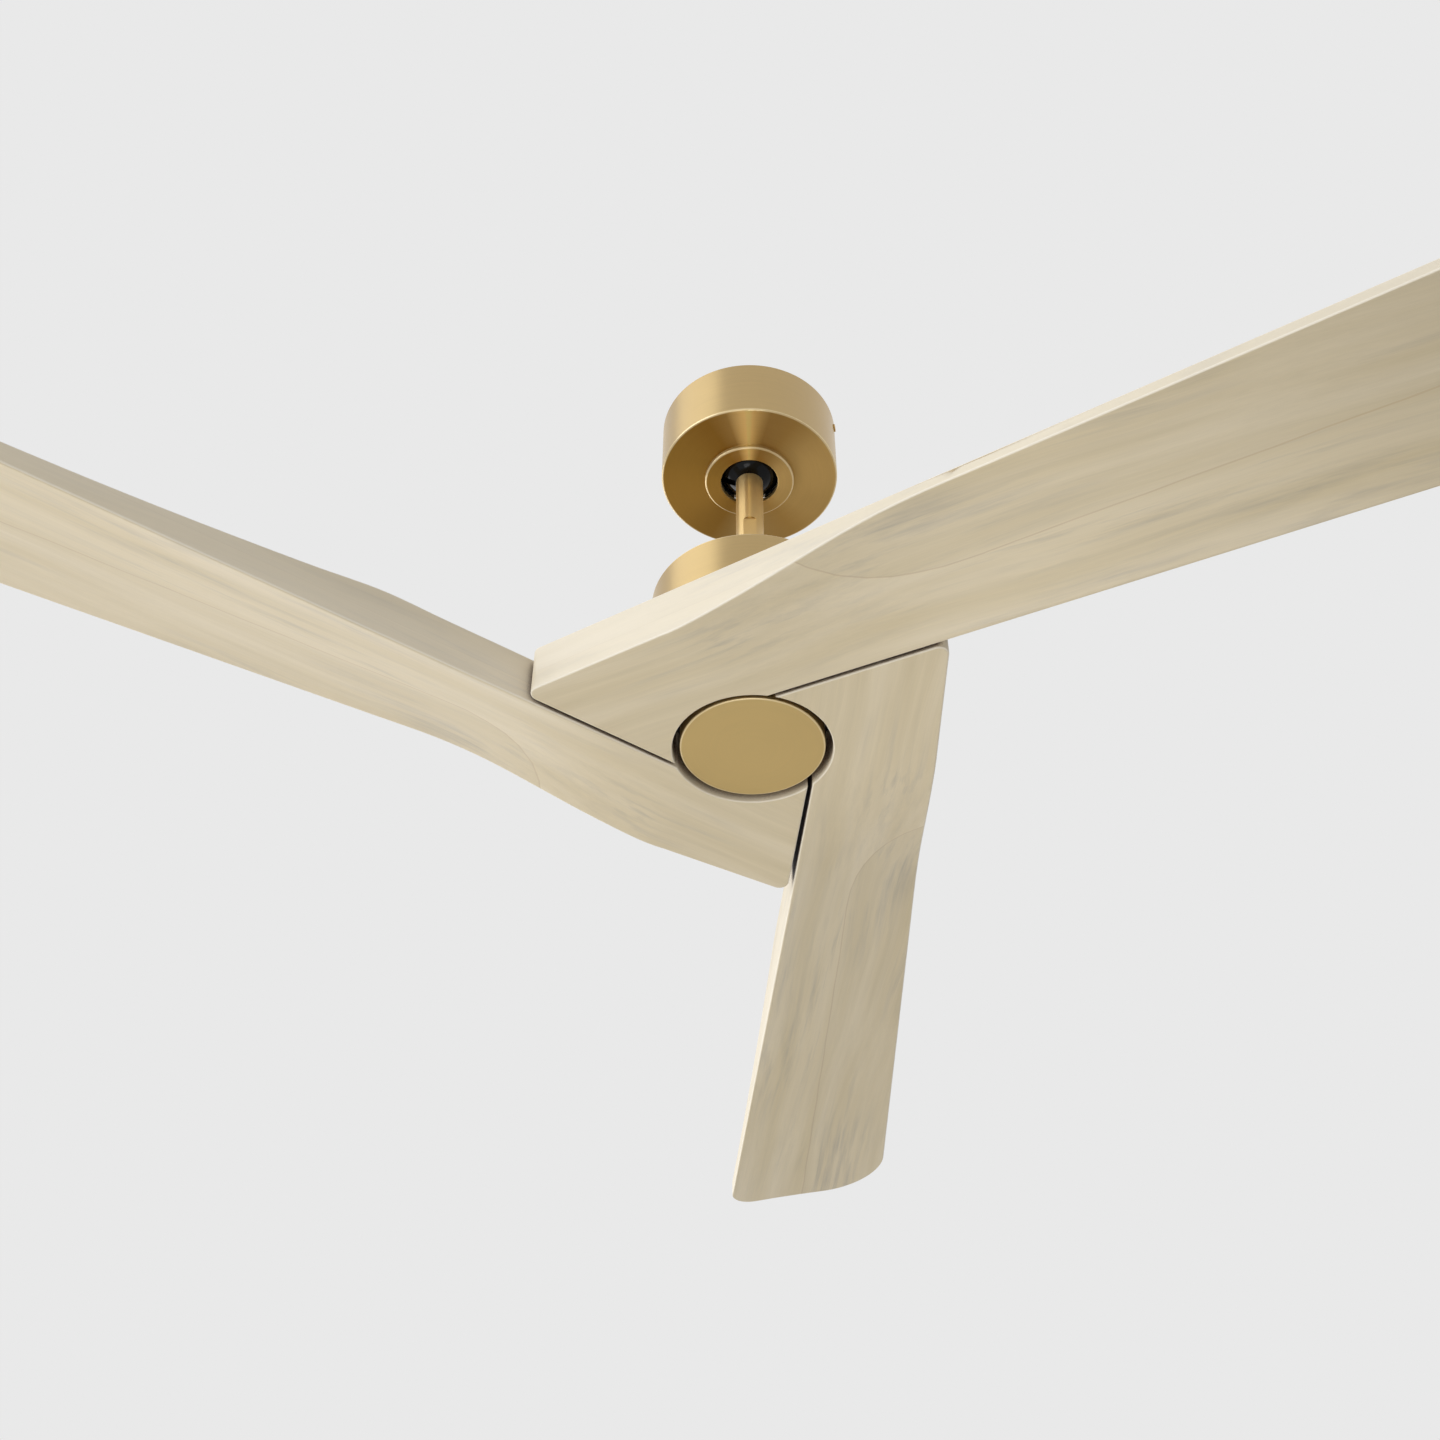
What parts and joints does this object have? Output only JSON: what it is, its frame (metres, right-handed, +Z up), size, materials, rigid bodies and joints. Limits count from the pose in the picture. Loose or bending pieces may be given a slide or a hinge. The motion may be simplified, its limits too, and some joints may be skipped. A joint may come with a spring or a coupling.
{
  "type": "ceiling fan",
  "caption": "Ceiling fan with carved, interlocking laminated-wood blades, a brushed brass drum motor housing, a brass downrod and a round brass canopy over a ball hanger.",
  "frame": {"origin": "centre of the mounting bracket's two slots, in the face that lies against the ceiling", "axes": "+Z up into the ceiling, along the axis the blades turn about; +Y along the line of the two slots, away from the milled flat on the downrod; +X to the right when the fan is seen from the side of that flat"},
  "size_m": [1.3858, 1.2608, 0.3933],
  "materials": {
    "brass_housing": "brushed round the drum, clear lacquer",
    "brass_canopy": "brushed, clear lacquer",
    "brass_rod": "satin, clear lacquer",
    "brass_cap": "turned face, clear lacquer",
    "wood_blade": "laminated light hardwood, satin oil",
    "ball_gloss": "black gloss moulding",
    "bracket_zinc": "zinc plated sheet",
    "fastener_steel": "zinc plated",
    "screw_brass": "polished",
    "earth_green": "green earth screw",
    "terminal_plastic": "off-white moulding",
    "coupling_iron": "black coated",
    "shaft_steel": "ground steel",
    "stator_steel": "stacked laminations",
    "copper_wire": "enamelled copper wire",
    "magnet_dark": "coated ferrite",
    "shell_aluminium": "die cast",
    "race_steel": "ground bearing steel",
    "board_green": "glass-fibre circuit board",
    "board_part_dark": "electronic parts",
    "standoff_nylon": "natural nylon",
    "plate_steel": "black powder coat",
    "gasket_rubber": "thin sheet"
  },
  "bodies": {
    "ceiling_mount": {"mounting_bracket": "bracket_zinc", "earth_screw": "earth_green", "terminal_block": "terminal_plastic", "canopy": "brass_canopy", "canopy_ring": "brass_canopy", "canopy_screws": "screw_brass"},
    "hanging": {"hanger_ball": "ball_gloss", "ball_pin": "fastener_steel", "ball_set_screw": "fastener_steel", "downrod": "brass_rod", "rod_coupling": "coupling_iron", "coupling_pin": "fastener_steel", "pin_clip": "fastener_steel", "coupling_set_screws": "fastener_steel", "motor_housing": "brass_housing", "housing_screws": "fastener_steel", "board_standoffs": "standoff_nylon", "controller_board": "board_green", "board_screws": "fastener_steel", "board_parts": "board_part_dark", "motor_shaft": "shaft_steel", "upper_spacer": "shaft_steel", "stator_sleeve": "shaft_steel", "lower_spacer": "shaft_steel", "stator_core": "stator_steel", "stator_windings": "copper_wire", "upper_inner_race": "race_steel", "lower_inner_race": "race_steel", "cap_carrier": "shell_aluminium", "lock_washer": "fastener_steel", "shaft_nut": "fastener_steel", "hub_cap": "brass_cap"},
    "rotor": {"upper_rotor_shell": "shell_aluminium", "lower_rotor_shell": "shell_aluminium", "shell_screws": "fastener_steel", "rotor_magnets": "magnet_dark", "upper_outer_race": "race_steel", "lower_outer_race": "race_steel", "upper_bearing_balls": "race_steel", "lower_bearing_balls": "race_steel", "hub_plate": "plate_steel", "hub_screws": "fastener_steel", "isolation_gasket": "gasket_rubber", "blade_inserts": "screw_brass", "blade_screws": "fastener_steel", "blade_1": "wood_blade", "blade_2": "wood_blade", "blade_3": "wood_blade"}
  },
  "joints": [
    {"name": "ball_tilt", "type": "hinge", "parent": "ceiling_mount", "child": "hanging", "pos_m": [0, 0, -0.039], "axis": [0, 1, 0], "range_deg": [-15, 15]},
    {"name": "blade_spin", "type": "hinge", "parent": "hanging", "child": "rotor", "pos_m": [0, 0, -0.3179], "axis": [0, 0, 1], "continuous": true}
  ]
}
